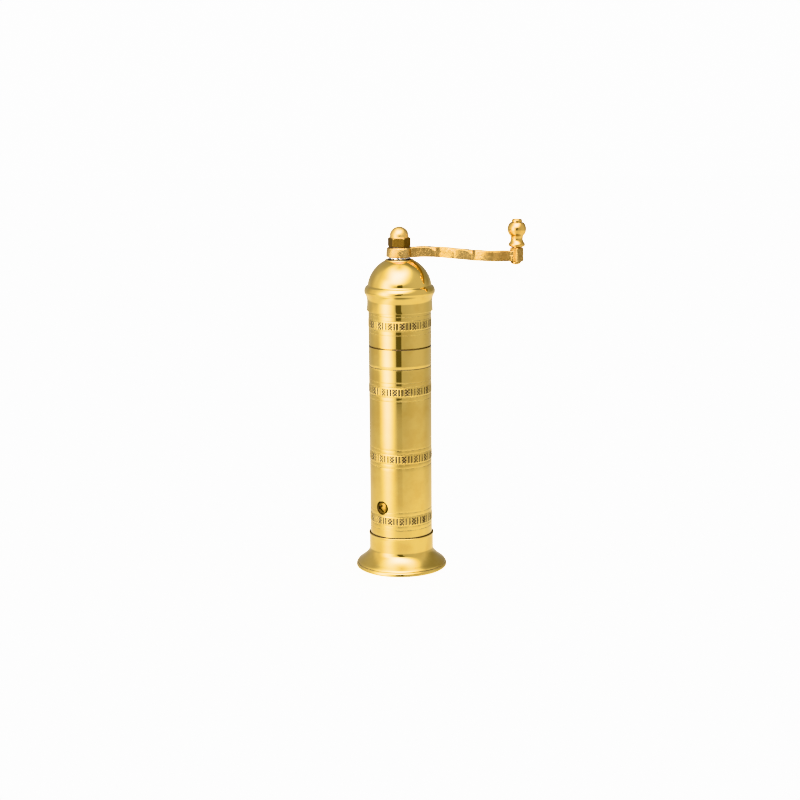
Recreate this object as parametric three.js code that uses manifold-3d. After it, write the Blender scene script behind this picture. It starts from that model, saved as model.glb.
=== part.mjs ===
// A hand-cranked brass mill with a conical burr, built from its separate pieces.
//
// Millimetres, +Z up. The origin is the centre of the foot's flat underside and the crank points
// along +X. Azimuths are measured from the front (-Y) towards +X.
import * as THREE from "three";
import { mergeVertices } from "three/addons/utils/BufferGeometryUtils.js";
import Module from "manifold-3d";

const wasm = await Module();
wasm.setup();

// ---------------------------------------------------------------- driving dimensions

const BARREL_R = 20.5; // outside of the barrel and of the head sleeve
const WALL = 0.8; // thickness of the drawn tubes and of the spun dome
const BORE_R = BARREL_R - WALL;
const SLIP = 0.3; // clearance between a piece and the one it slides or presses into
const TOUCH = 0.1; // gap between faces that rest on each other
const ROUND = 32; // facets of the large turned pieces
const SMALL = 20; // facets of the small ones

const CUP_TOP = 23.6; // rim of the grounds cup
const CUP_SEAT = 13.4; // step in the cup that the barrel stands on
const BARREL_TOP = 149.2;
const HEAD_BOTTOM = 149.6;
const SLEEVE_TOP = 178;
const BEAD_Z = 185.9; // widest turn of the lid, and centre of its dome
const DOME_R = 21;
const HUB_BOTTOM = 206.9;
const HUB_TOP = 213;
const MILL_TOP = 226.4; // crown of the acorn nut
const KNOB_X = 75.6; // crank radius, shaft axis to knob axis

const BAND_CENTRES = [35.3, 77.0, 121.4]; // engraved bands of the barrel
const HEAD_BAND = 164.5;
const BAND_HALF = 2.6;
const BAND_PROUD = 0.35;

const SCREW_Z = 43.7; // side screws through the barrel
const SCREW_AZIMUTHS = { side_screw_front: -40, side_screw_rear: 140 };
const SCREW_HOLE_R = 4.25;

const HOUSING_R = BORE_R - SLIP;
const HOUSING_BOTTOM = 37;
const HOUSING_TOP = 60;
const HOUSING_BORE = 15.9;
const HOUSING_LEDGE = 40.1; // the ring burr stands on this ledge
const LEDGE_R = 14.6;
const BURR_R = HOUSING_BORE - SLIP;
const RING_BURR_TOP = 56.6;
const CONE_BOTTOM = 41.3;
const CONE_TOP = 51;
const GUIDE_BOTTOM = 57; // boss of the upper bridge, which the spring pushes against
const BALL_Z = 41;
const BALL_R = 1.8;
const BALL_POCKET_R = 2.1;
const BRIDGE_SCREW_X = 16.8;
const STRAP_TOP = 33.2; // middle of the lower bridge, where the adjuster nut sits
const STRAP_THICK = 2.7;
const STRAP_WIDTH = 9;

const SHAFT_R = 4; // M8 shaft: journal and thread
const ROD_R = 3.2; // thinner stretch through the hopper
const GUIDE_R = 3.9; // bore of the upper bridge
const SHAFT_TIP = 46.3;
const ROD_BOTTOM = 60;
const SQUARE = 5.8; // across the flats, under the crank
const TIP_SQUARE = 5; // across the flats, in the cone burr
const CLIP_Z = 190.6; // retaining groove in the shaft
const CLIP_GROOVE = 1.4;
const BEARING = 0.15; // radial clearance between the shaft and what it turns in

const HEX_FLATS = 13; // M8 nut
const PIN_R = 1.9;
const BOSS_TOP = 212.3; // end boss of the crank
const KNOB_TOP = 228.5;

// ---------------------------------------------------------------- shaping helpers

const rad = THREE.MathUtils.degToRad;

// A turned solid. The profile lists [radius, z] anticlockwise: outwards, up the outside, back down
// the inside. It starts and ends on the axis, or is closed here into a ring.
function turned(profile, facets = ROUND) {
  const onAxis = profile[0][0] === 0;
  const loop = onAxis ? profile : [...profile, profile[0]];
  const points = loop.map(([r, z]) => new THREE.Vector2(r, z));
  return new THREE.LatheGeometry(points, facets).rotateX(Math.PI / 2);
}

// A plain ring, washer or tube.
function ring(inner, outer, bottom, top, facets = SMALL) {
  const profile = [
    [inner, bottom],
    [outer, bottom],
    [outer, top],
    [inner, top],
  ];
  return turned(profile, facets);
}

// A rod on the Z axis.
function rod(radius, bottom, top, facets = SMALL) {
  const profile = [
    [0, bottom],
    [radius, bottom],
    [radius, top],
    [0, top],
  ];
  return turned(profile, facets);
}

// Points of a circular arc in a profile, angles in degrees from the radial direction.
function arc(centreR, centreZ, radius, from, to, steps) {
  return Array.from({ length: steps + 1 }, (_, i) => {
    const angle = rad(from + ((to - from) * i) / steps);
    return [centreR + radius * Math.cos(angle), centreZ + radius * Math.sin(angle)];
  });
}

// Points of a smooth bend between two profile points, pulled towards a third.
function bend(from, pull, to, steps) {
  const ends = [from, pull, to].map(([r, z]) => new THREE.Vector2(r, z));
  const curve = new THREE.QuadraticBezierCurve(...ends);
  return curve.getPoints(steps).map((p) => [p.x, p.y]);
}

// A turned solid with saw teeth: a profile point's third number is how far its teeth reach, outwards
// if positive, and a twist in degrees per millimetre makes the teeth run round as they rise.
function toothed(profile, teeth, samples, twist = 0) {
  const geometry = turned(profile, teeth * samples);
  const rows = geometry.getAttribute("position").count / (teeth * samples + 1);
  const at = geometry.getAttribute("position");
  for (let i = 0; i < at.count; i += 1) {
    const reach = profile[(i % rows) % profile.length][2] ?? 0;
    if (reach !== 0) {
      const step = Math.floor(i / rows) % samples;
      const spot = new THREE.Vector3().fromBufferAttribute(at, i);
      const radius = Math.hypot(spot.x, spot.y);
      const scale = (radius + (reach * step) / (samples - 1)) / radius;
      spot.applyAxisAngle(new THREE.Vector3(0, 0, 1), rad(twist * (spot.z - profile[0][1])));
      at.setXYZ(i, spot.x * scale, spot.y * scale, spot.z);
    }
  }
  return geometry;
}

// A prism on the Z axis from a closed outline.
function prism(shape, bottom, top) {
  const geometry = new THREE.ExtrudeGeometry(shape, {
    depth: top - bottom,
    bevelEnabled: false,
    curveSegments: 6,
  });
  return geometry.translate(0, 0, bottom);
}

// A circle with two flats facing +Y and -Y.
function flattedCircle(radius, flats) {
  const half = flats / 2;
  const corner = Math.asin(half / radius);
  const shape = new THREE.Shape();
  shape.absarc(0, 0, radius, -corner, corner, false);
  shape.absarc(0, 0, radius, Math.PI - corner, Math.PI + corner, false);
  return shape;
}

// A square with its corners turned down to a circle.
function turnedSquare(flats, radius, bottom, top) {
  const square = new THREE.BoxGeometry(flats, flats, top - bottom);
  square.translate(0, 0, (bottom + top) / 2);
  return meet(square, rod(radius, bottom, top));
}

function solidOf(geometry) {
  const plain = geometry.clone();
  plain.deleteAttribute("normal");
  plain.deleteAttribute("uv");
  const merged = mergeVertices(plain, 1e-3);
  const mesh = new wasm.Mesh({
    numProp: 3,
    vertProperties: new Float32Array(merged.getAttribute("position").array),
    triVerts: new Uint32Array(merged.index.array),
  });
  return new wasm.Manifold(mesh);
}

function geometryOf(solid) {
  const mesh = solid.getMesh();
  const geometry = new THREE.BufferGeometry();
  geometry.setAttribute("position", new THREE.BufferAttribute(mesh.vertProperties, 3));
  geometry.setIndex(new THREE.BufferAttribute(mesh.triVerts, 1));
  const faceted = geometry.toNonIndexed();
  faceted.computeVertexNormals();
  return faceted;
}

function join(first, ...others) {
  return geometryOf(others.reduce((sum, one) => sum.add(solidOf(one)), solidOf(first)));
}

function cut(body, ...tools) {
  return geometryOf(tools.reduce((left, one) => left.subtract(solidOf(one)), solidOf(body)));
}

function meet(first, second) {
  return geometryOf(solidOf(first).intersect(solidOf(second)));
}

// ---------------------------------------------------------------- finishes

function finish(color, roughness, metalness = 1) {
  return () => new THREE.MeshStandardMaterial({ color, roughness, metalness });
}

const polishedBrass = finish(0xd6af50, 0.16);
const castBrass = finish(0xd8a55c, 0.45);
const darkBrass = finish(0x8b6522, 0.35);
const plainBrass = finish(0xb8964a, 0.4);
const brightSteel = finish(0xc6c9cc, 0.22);
const toolSteel = finish(0x74757a, 0.42);
const blackFibre = finish(0x171412, 0.8, 0);

// ---------------------------------------------------------------- foot and barrel

function groundsCup() {
  const footR = 27.4;
  const flare = bend([29.05, 4.3], [23, 9.2], [21.13, 14], 5);
  const rim = bend([footR, 0], [30.4, 0.2], [30, 2], 3);
  const profile = [
    [0, 0],
    ...rim,
    [29.4, 3.6],
    ...flare,
    [21.13, 22.2],
    [21.45, 22.9],
    [21.45, CUP_TOP],
    [BARREL_R + SLIP, CUP_TOP],
    [BARREL_R + SLIP, CUP_SEAT],
    [19.4, CUP_SEAT],
    [19.4, 3.4],
    [18, 2],
    [0, 2],
  ];
  return turned(profile);
}

// The raised strip of one engraved band, as a stretch of an outside profile.
function bandProfile(centre) {
  const slope = 0.15;
  return [
    [BARREL_R, centre - BAND_HALF - slope],
    [BARREL_R + BAND_PROUD, centre - BAND_HALF + slope],
    [BARREL_R + BAND_PROUD, centre + BAND_HALF - slope],
    [BARREL_R, centre + BAND_HALF + slope],
  ];
}

function mainBarrel() {
  const tube = turned([
    [BORE_R, CUP_SEAT + TOUCH],
    [BARREL_R, CUP_SEAT + TOUCH],
    ...BAND_CENTRES.flatMap(bandProfile),
    [BARREL_R, BARREL_TOP],
    [BORE_R, BARREL_TOP],
  ]);
  return cut(tube, ...screwHoles(SCREW_HOLE_R, BORE_R - 2, BARREL_R + 2));
}

// Radial cutters at the side screws.
function screwHoles(radius, from, to) {
  return Object.values(SCREW_AZIMUTHS).map((azimuth) =>
    rod(radius, from, to, 16)
      .rotateX(Math.PI / 2)
      .rotateZ(rad(azimuth))
      .translate(0, 0, SCREW_Z),
  );
}

function headSpigot() {
  const outer = BORE_R - SLIP;
  return ring(outer - 0.6, outer, 137, 158, ROUND);
}

// A pan head that stands in the barrel's hole, on a shank that runs into the housing. Built along
// +Z, with z as the distance from the barrel's axis.
function sideScrew() {
  const seat = HOUSING_R + 0.2;
  const body = turned(
    [
      [0, 16.4],
      [2, 16.4],
      [2, seat],
      [3.7, seat],
      [3.7, seat + 0.8],
      [2.9, seat + 1.6],
      [1.4, seat + 2],
      [0, seat + 2.05],
    ],
    16,
  );
  const arms = [45, -45].map((angle) =>
    new THREE.BoxGeometry(4.4, 1.1, 2.4).rotateZ(rad(angle)).translate(0, 0, seat + 2.1),
  );
  return cut(body, ...arms);
}

// ---------------------------------------------------------------- grinding unit

function burrHousing() {
  const shell = turned([
    [LEDGE_R, HOUSING_BOTTOM],
    [HOUSING_R, HOUSING_BOTTOM],
    [HOUSING_R, HOUSING_TOP],
    [HOUSING_BORE, HOUSING_TOP],
    [HOUSING_BORE, HOUSING_LEDGE],
    [LEDGE_R, HOUSING_LEDGE],
  ]);
  const bridgeHoles = [-BRIDGE_SCREW_X, BRIDGE_SCREW_X].map((x) =>
    rod(1.8, HOUSING_BOTTOM - 1, HOUSING_BOTTOM + 3, 12).translate(x, 0, 0),
  );
  return cut(shell, ...bridgeHoles, ...screwHoles(2.3, HOUSING_BORE - 1, HOUSING_R + 1));
}

function ringBurr() {
  const bottom = HOUSING_LEDGE + TOUCH;
  const profile = [
    [BURR_R, bottom],
    [BURR_R, RING_BURR_TOP],
    [14.1, RING_BURR_TOP],
    [13, 55.2, 0.8],
    [11.1, 46.3, 0.8],
    [12.4, 41.1, 0.5],
    [13, bottom],
  ];
  return toothed(profile, 20, 3, 1.2);
}

function coneBurr() {
  const profile = [
    [0, CONE_BOTTOM],
    [10.8, CONE_BOTTOM],
    [11.6, 42, -0.7],
    [10.2, 46.3, -0.9],
    [7.4, 50.2, -0.9],
    [6.4, CONE_TOP],
    [0, CONE_TOP],
  ];
  const body = toothed(profile, 16, 4, 3);
  const socket = TIP_SQUARE + 0.4;
  const bore = new THREE.BoxGeometry(socket, socket, 8).translate(0, 0, 49.6);
  return cut(body, bore, rod(BALL_POCKET_R, CONE_BOTTOM - 1, BALL_Z + 2.2, 16));
}

function upperBridge() {
  const rim = ring(13.6, BURR_R, RING_BURR_TOP + SLIP, HOUSING_TOP, ROUND);
  const boss = ring(GUIDE_R, 6.8, GUIDE_BOTTOM, 62);
  const spokes = [90, 210, 330].map((angle) =>
    new THREE.BoxGeometry(8.6, 3.2, 2.4).translate(10.4, 0, 58.5).rotateZ(rad(angle)),
  );
  return join(rim, boss, ...spokes);
}

function burrSpring() {
  const coilR = 5.3;
  const wireR = 0.5;
  const bottom = CONE_TOP + TOUCH + wireR;
  const top = GUIDE_BOTTOM - TOUCH - wireR;
  const turns = 3.5;
  class Coil extends THREE.Curve {
    getPoint(t, target = new THREE.Vector3()) {
      const angle = 2 * Math.PI * turns * t;
      const height = bottom + (top - bottom) * t;
      return target.set(coilR * Math.cos(angle), coilR * Math.sin(angle), height);
    }
  }
  const corners = Array.from({ length: 6 }, (_, i) => {
    const angle = (i * Math.PI) / 3;
    return new THREE.Vector2(wireR * Math.cos(angle), wireR * Math.sin(angle));
  });
  return new THREE.ExtrudeGeometry(new THREE.Shape(corners), {
    steps: 42,
    extrudePath: new Coil(),
    bevelEnabled: false,
  });
}

// A strap bent down in the middle, with a hole that keeps the flatted spindle from turning.
function lowerBridge() {
  const endTop = HOUSING_BOTTOM - TOUCH;
  const half = [
    [18.6, endTop],
    [13.4, endTop],
    [11, STRAP_TOP],
  ];
  const upper = [...half, ...half.map(([x, z]) => [-x, z]).reverse()];
  const lower = upper.map(([x, z]) => [x, z - STRAP_THICK]).reverse();
  const outline = [...upper, ...lower].map(([x, z]) => new THREE.Vector2(x, z));
  const strap = new THREE.ExtrudeGeometry(new THREE.Shape(outline), {
    depth: STRAP_WIDTH,
    bevelEnabled: false,
  });
  strap.rotateX(Math.PI / 2).translate(0, STRAP_WIDTH / 2, 0);
  const keyhole = prism(flattedCircle(3.3, 5.4), 25, 35);
  const screwHolesInStrap = [-BRIDGE_SCREW_X, BRIDGE_SCREW_X].map((x) =>
    rod(1.8, 30, 40, 12).translate(x, 0, 0),
  );
  return cut(strap, keyhole, ...screwHolesInStrap);
}

function bridgeScrew() {
  const seat = HOUSING_BOTTOM - TOUCH - STRAP_THICK - TOUCH;
  const body = turned(
    [
      [0, seat - 1.9],
      [1.8, seat - 1.9],
      [2.4, seat - 1.2],
      [2.4, seat],
      [1.5, seat],
      [1.5, HOUSING_BOTTOM + 2.6],
      [0, HOUSING_BOTTOM + 2.6],
    ],
    16,
  );
  return cut(body, new THREE.BoxGeometry(6, 0.7, 1.6).translate(0, 0, seat - 1.9));
}

function adjusterNut() {
  const bottom = STRAP_TOP + TOUCH;
  const top = bottom + 4;
  const profile = [
    [3.3, bottom],
    [7.4, bottom],
    [8.2, bottom + 0.6, -0.5],
    [8.2, top - 0.6, -0.5],
    [7.4, top],
    [3.3, top],
  ];
  return toothed(profile, 15, 3);
}

function thrustSpindle() {
  const top = 40.6;
  const stem = prism(flattedCircle(3, 5), 27.5, top);
  return cut(stem, rod(BALL_POCKET_R, BALL_Z - 2.1, top + 1, 16));
}

// ---------------------------------------------------------------- head

function headSleeve() {
  return turned([
    [BORE_R, HEAD_BOTTOM],
    [BARREL_R, HEAD_BOTTOM],
    ...bandProfile(HEAD_BAND),
    [BARREL_R, SLEEVE_TOP],
    [BORE_R, SLEEVE_TOP],
  ]);
}

function domeLid() {
  const insideR = BARREL_R + SLIP;
  const neck = bend([21.22, 177], [21.25, 181], [22.55, 183.6], 3);
  const bead = bend([22.85, 184.6], [23.3, 186.6], [22.2, 187.8], 3);
  const outside = arc(0, BEAD_Z, DOME_R, 6.6, 61.8, 7);
  const inside = arc(0, BEAD_Z, DOME_R - WALL, 61.4, 6, 5);
  const profile = [
    [insideR, 172.4],
    [21.54, 172.4],
    ...neck,
    ...bead,
    ...outside,
    [9.2, 205.2],
    [8.7, 205.7],
    [7.9, 205.7],
    [7.5, 205.3],
    [7.5, 204.6],
    [5.9, 204.6],
    [5.9, 203.5],
    [9.5, 203.5],
    ...inside,
    [21.8, 186.8],
    [21.5, 183.2],
    [insideR, 180.4],
  ];
  return turned(profile);
}

// Flanged bush under the dome, with its nose in the dome's hole.
function domeBush() {
  const profile = [
    [SHAFT_R + BEARING, 193],
    [5.6, 193],
    [5.6, 201.8],
    [8, 201.8],
    [8, 203.4],
    [5.6, 203.4],
    [5.6, 204.4],
    [SHAFT_R + BEARING, 204.4],
  ];
  return turned(profile, SMALL);
}

// ---------------------------------------------------------------- crank and shaft

function driveShaft() {
  const spindle = turned(
    [
      [0, ROD_BOTTOM],
      [ROD_R, ROD_BOTTOM],
      [ROD_R, 186],
      [SHAFT_R, 187.5],
      [SHAFT_R, CLIP_Z],
      [3.3, CLIP_Z],
      [3.3, CLIP_Z + CLIP_GROOVE],
      [SHAFT_R, CLIP_Z + CLIP_GROOVE],
      [SHAFT_R, HUB_BOTTOM - TOUCH],
      [0, HUB_BOTTOM - TOUCH],
    ],
    SMALL,
  );
  const crankSquare = turnedSquare(SQUARE, SHAFT_R, HUB_BOTTOM - 0.5, HUB_TOP + 0.5);
  const tipSquare = turnedSquare(TIP_SQUARE, ROD_R, SHAFT_TIP, ROD_BOTTOM + 0.5);
  const thread = turned(
    [
      [0, HUB_TOP + TOUCH],
      [SHAFT_R - 0.1, HUB_TOP + TOUCH],
      [SHAFT_R - 0.1, 221.4],
      [SHAFT_R - 0.8, 222.1],
      [0, 222.1],
    ],
    SMALL,
  );
  return join(spindle, crankSquare, tipSquare, thread);
}

// An open ring that snaps into the shaft's groove.
function shaftClip() {
  const opening = rad(38);
  const shape = new THREE.Shape();
  shape.absarc(0, 0, 6.2, opening, 2 * Math.PI - opening, false);
  shape.absarc(0, 0, 3.45, 2 * Math.PI - opening, opening, true);
  const clip = new THREE.ExtrudeGeometry(shape, {
    depth: CLIP_GROOVE - 0.5,
    bevelEnabled: false,
    curveSegments: 16,
  });
  return clip.translate(0, 0, CLIP_Z + 0.25);
}

// The steel nut under the hub: ten shallow flutes round its rim.
function ringNut() {
  const profile = [
    [4.15, 205.8],
    [6.4, 205.8],
    [6.8, 206, -0.35],
    [6.8, 206.7, -0.35],
    [6.5, 206.8],
    [4.15, 206.8],
  ];
  return toothed(profile, 10, 3);
}

// Height of the arm's centreline: a slight rise out of the hub, then one smooth drop to the boss.
function armHeight(x) {
  const { smoothstep } = THREE.MathUtils;
  return 209.85 + 0.35 * smoothstep(x, 7, 15) - 3.3 * smoothstep(x, 15, 62);
}

function crankArm() {
  const hub = turned(
    [
      [0, HUB_BOTTOM],
      [8.35, HUB_BOTTOM],
      [8.6, HUB_BOTTOM + 0.3],
      [8.2, HUB_TOP - 0.4],
      [7.9, HUB_TOP],
      [0, HUB_TOP],
    ],
    24,
  );
  const steps = 12;
  const halfHeight = 3.25;
  const stations = Array.from({ length: steps + 1 }, (_, i) => 7 + (66 * i) / steps);
  const top = stations.map((x) => new THREE.Vector2(x, armHeight(x) + halfHeight));
  const bottom = stations.map((x) => new THREE.Vector2(x, armHeight(x) - halfHeight));
  const edge = 0.5;
  const width = 5.6;
  const bar = new THREE.ExtrudeGeometry(new THREE.Shape([...bottom, ...top.reverse()]), {
    depth: width - 2 * edge,
    bevelThickness: edge,
    bevelSize: edge,
    bevelOffset: -edge,
    bevelSegments: 1,
  });
  bar.rotateX(Math.PI / 2).translate(0, width / 2 - edge, 0);
  const post = prism(roundedSquare(6.9, 1.2), 203.1, BOSS_TOP);
  post.rotateZ(Math.PI / 4).translate(KNOB_X, 0, 0);
  const square = turnedSquare(SQUARE + 0.4, SHAFT_R + 0.2, HUB_BOTTOM - 1, HUB_TOP + 1);
  const bore = rod(PIN_R + 0.2, 200, 215, 16).translate(KNOB_X, 0, 0);
  return cut(join(hub, bar, post), square, bore);
}

function roundedSquare(side, radius) {
  const at = side / 2 - radius;
  const shape = new THREE.Shape();
  shape.absarc(at, at, radius, 0, Math.PI / 2, false);
  shape.absarc(-at, at, radius, Math.PI / 2, Math.PI, false);
  shape.absarc(-at, -at, radius, Math.PI, 1.5 * Math.PI, false);
  shape.absarc(at, -at, radius, 1.5 * Math.PI, 2 * Math.PI, false);
  return shape;
}

function acornNut() {
  const bottom = HUB_TOP + 0.45;
  const hexTop = 219.6;
  const corner = HEX_FLATS / 2 / Math.cos(Math.PI / 6);
  const hexagon = new THREE.CylinderGeometry(corner, corner, hexTop - bottom, 6);
  hexagon.rotateX(Math.PI / 2).rotateZ(rad(25)).translate(0, 0, (bottom + hexTop) / 2);
  const chamfer = turned(
    [
      [0, bottom],
      [6.6, bottom],
      [corner + 0.1, bottom + 0.7],
      [corner + 0.1, hexTop - 0.7],
      [6.4, hexTop],
      [0, hexTop],
    ],
    24,
  );
  const crownR = 6.1;
  const shoulder = 220.6;
  const crown = arc(0, 0, 1, 0, 90, 6).map(([across, up]) => [
    crownR * across,
    shoulder + (MILL_TOP - shoulder) * up,
  ]);
  const cap = turned([[0, 217], [crownR, 217], ...crown.slice(0, -1), [0, MILL_TOP]], 24);
  const bore = rod(SHAFT_R + BEARING, bottom - 1, 222.5);
  return cut(join(meet(hexagon, chamfer), cap), bore);
}

function knobPin() {
  return turned(
    [
      [0, 201.9],
      [2.2, 201.9],
      [3, 202.4],
      [3, 203],
      [PIN_R, 203],
      [PIN_R, KNOB_TOP + TOUCH],
      [3.4, KNOB_TOP + TOUCH],
      [3.4, 230.2],
      [2.9, 230.7],
      [0, 230.7],
    ],
    SMALL,
  );
}

function crankKnob() {
  const boreR = PIN_R + BEARING;
  const ball = arc(0, 224.3, 6.1, -46, 43, 7);
  return turned(
    [
      [boreR, BOSS_TOP + 0.6],
      [4.7, BOSS_TOP + 0.6],
      [5.25, 213.8],
      [5.2, 215.1],
      [4.2, 216.4],
      [3.9, 218],
      ...ball,
      [boreR, KNOB_TOP],
    ],
    SMALL,
  );
}

// ---------------------------------------------------------------- assembly

const mill = new THREE.Group();

function place(name, geometry, finishOf) {
  const mesh = new THREE.Mesh(geometry, finishOf());
  mesh.name = name;
  mill.add(mesh);
  return mesh;
}

place("grounds_cup", groundsCup(), polishedBrass);
place("main_barrel", mainBarrel(), polishedBrass);
place("head_spigot", headSpigot(), plainBrass);
for (const [name, azimuth] of Object.entries(SCREW_AZIMUTHS)) {
  const screw = place(name, sideScrew(), plainBrass);
  screw.rotation.set(Math.PI / 2, 0, rad(azimuth), "ZYX");
  screw.position.z = SCREW_Z;
}

place("burr_housing", burrHousing(), plainBrass);
place("ring_burr", ringBurr(), toolSteel);
place("cone_burr", coneBurr(), toolSteel);
place("upper_bridge", upperBridge(), plainBrass);
place("burr_spring", burrSpring(), brightSteel);
place("lower_bridge", lowerBridge(), brightSteel);
place("bridge_screw_left", bridgeScrew(), brightSteel).position.x = -BRIDGE_SCREW_X;
place("bridge_screw_right", bridgeScrew(), brightSteel).position.x = BRIDGE_SCREW_X;
place("adjuster_nut", adjusterNut(), plainBrass);
place("thrust_spindle", thrustSpindle(), brightSteel);
place("thrust_ball", new THREE.SphereGeometry(BALL_R, 12, 8), brightSteel).position.z = BALL_Z;

place("head_sleeve", headSleeve(), polishedBrass);
place("dome_lid", domeLid(), polishedBrass);
place("dome_bush", domeBush(), plainBrass);
place("gasket_ring", ring(SHAFT_R + 0.3, 7.3, 204.7, 205.6), blackFibre);

place("drive_shaft", driveShaft(), brightSteel);
place("thrust_washer", ring(SHAFT_R + BEARING, 7, CLIP_Z + 1.45, CLIP_Z + 2.3), brightSteel);
place("shaft_clip", shaftClip(), toolSteel);
place("ring_nut", ringNut(), brightSteel);
place("crank_arm", crankArm(), castBrass);
place("lock_washer", ring(SHAFT_R + BEARING, 6.1, HUB_TOP + 0.05, HUB_TOP + 0.4), toolSteel);
place("acorn_nut", acornNut(), darkBrass);
place("knob_pin", knobPin(), castBrass).position.x = KNOB_X;
place("crank_knob", crankKnob(), castBrass).position.x = KNOB_X;

export default mill;
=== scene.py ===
import math
import random

import bmesh
import bpy
from mathutils import Matrix, Vector, noise


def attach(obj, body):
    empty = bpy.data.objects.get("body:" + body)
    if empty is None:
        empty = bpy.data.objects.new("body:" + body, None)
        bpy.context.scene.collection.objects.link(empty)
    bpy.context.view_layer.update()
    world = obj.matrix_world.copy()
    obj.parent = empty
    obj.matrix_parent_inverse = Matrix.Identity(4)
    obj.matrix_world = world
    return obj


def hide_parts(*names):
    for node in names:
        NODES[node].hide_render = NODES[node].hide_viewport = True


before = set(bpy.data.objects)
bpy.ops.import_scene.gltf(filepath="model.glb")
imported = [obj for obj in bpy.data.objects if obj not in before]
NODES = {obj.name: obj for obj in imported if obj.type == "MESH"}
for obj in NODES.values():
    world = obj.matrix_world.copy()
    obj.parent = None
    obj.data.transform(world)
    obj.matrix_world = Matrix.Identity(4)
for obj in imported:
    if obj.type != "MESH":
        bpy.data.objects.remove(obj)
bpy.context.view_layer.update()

# Lengths in this script are millimetres; meshes are scaled to metres as they are made.
# Azimuths are measured from the front (-Y) towards +X, as in the CAD.
MM = 0.001

# ---------------------------------------------------------------- camera


def make_camera():
    """A long lens in front of the mill, a little above it and looking slightly down, placed in metres."""
    place = (-0.00027, -1.1348, 0.3547)
    looks_down, roll = 12.05, -0.43
    data = bpy.data.cameras.new("camera")
    data.lens = 79.67
    data.sensor_width = 36
    data.clip_start = 0.02
    camera = bpy.data.objects.new("camera", data)
    bpy.context.scene.collection.objects.link(camera)
    camera.matrix_world = (
        Matrix.Translation(place)
        @ Matrix.Rotation(math.radians(90 - looks_down), 4, "X")
        @ Matrix.Rotation(math.radians(roll), 4, "Z")
    )
    bpy.context.scene.camera = camera


# ---------------------------------------------------------------- node helpers


class Graph:
    """Short calls for building a node tree. A value may be a number or another node's socket."""

    def __init__(self, tree):
        self.tree = tree
        tree.nodes.clear()

    def add(self, kind, inputs=None, **settings):
        node = self.tree.nodes.new(kind)
        for key, value in settings.items():
            setattr(node, key, value)
        for key, value in (inputs or {}).items():
            self.put(value, node.inputs[key])
        return node

    def put(self, value, socket):
        if isinstance(value, bpy.types.NodeSocket):
            self.tree.links.new(value, socket)
        else:
            socket.default_value = value

    def math(self, operation, first, second=0.0, third=0.0):
        node = self.tree.nodes.new("ShaderNodeMath")
        node.operation = operation
        for value, socket in zip((first, second, third), node.inputs):
            self.put(value, socket)
        return node.outputs[0]

    def plus(self, first, second):
        return self.math("ADD", first, second)

    def times(self, first, second):
        return self.math("MULTIPLY", first, second)

    def ramp(self, value, low, high, start=0.0, end=1.0):
        """Smooth step from start at low to end at high."""
        node = self.add("ShaderNodeMapRange", interpolation_type="SMOOTHSTEP")
        wanted = {"Value": value, "From Min": low, "From Max": high, "To Min": start, "To Max": end}
        for key, number in wanted.items():
            self.put(number, node.inputs[key])
        return node.outputs["Result"]

    def window(self, value, low, high, low_edge, high_edge):
        """1 between low and high, with soft edges of those half widths."""
        rise = self.ramp(value, low - low_edge, low + low_edge)
        fall = self.ramp(value, high - high_edge, high + high_edge, 1.0, 0.0)
        return self.times(rise, fall)

    def lerp(self, amount, first, second):
        node = self.add("ShaderNodeMix", data_type="FLOAT")
        self.put(amount, node.inputs[0])
        self.put(first, node.inputs[2])
        self.put(second, node.inputs[3])
        return node.outputs[0]

    def blend(self, amount, first, second):
        node = self.add("ShaderNodeMix", data_type="RGBA")
        self.put(amount, node.inputs[0])
        self.put(first, node.inputs[6])
        self.put(second, node.inputs[7])
        return node.outputs[2]

    def noise(self, position, scale, detail=2.0, roughness=0.5):
        node = self.add("ShaderNodeTexNoise", {"Scale": scale, "Detail": detail, "Roughness": roughness})
        self.put(position, node.inputs["Vector"])
        return node.outputs["Fac"]


def rgb(r, g, b):
    return (r, g, b, 1.0)


# ---------------------------------------------------------------- light


BACKDROP = 4.5  # brightness of the white that only the camera sees
LEFT_BOX = {"azimuth": -49.5, "width": 17.0, "strength": 7.6}
TOP_BOX = {"level": 56.0, "width": 27.0, "strength": 18.6}


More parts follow.
